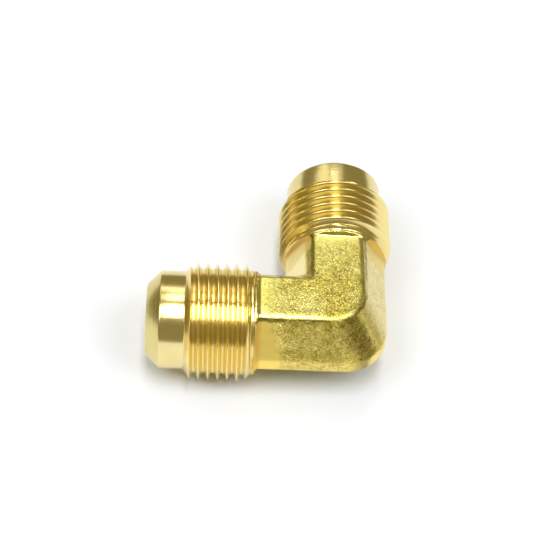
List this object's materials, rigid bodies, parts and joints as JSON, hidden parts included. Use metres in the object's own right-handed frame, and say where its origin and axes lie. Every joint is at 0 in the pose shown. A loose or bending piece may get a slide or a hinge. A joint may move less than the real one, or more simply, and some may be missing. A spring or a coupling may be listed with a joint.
{
  "type": "flare union elbow",
  "caption": "Right-angle brass flare fitting: one forged elbow with two wrench flats and a drilled bore, male thread and coned flare seat at each end.",
  "frame": {"origin": "the point where the two bore axes cross", "axes": "one end looks along -X and the other along +Y; +Z is square to both bores, out of the upper wrench flat"},
  "size_m": [0.0473, 0.0473, 0.022],
  "materials": {
    "brass": "forged and left rough on the body, turned bright on the ends"
  },
  "bodies": {
    "root": {"elbow_body": "brass"}
  },
  "joints": []
}
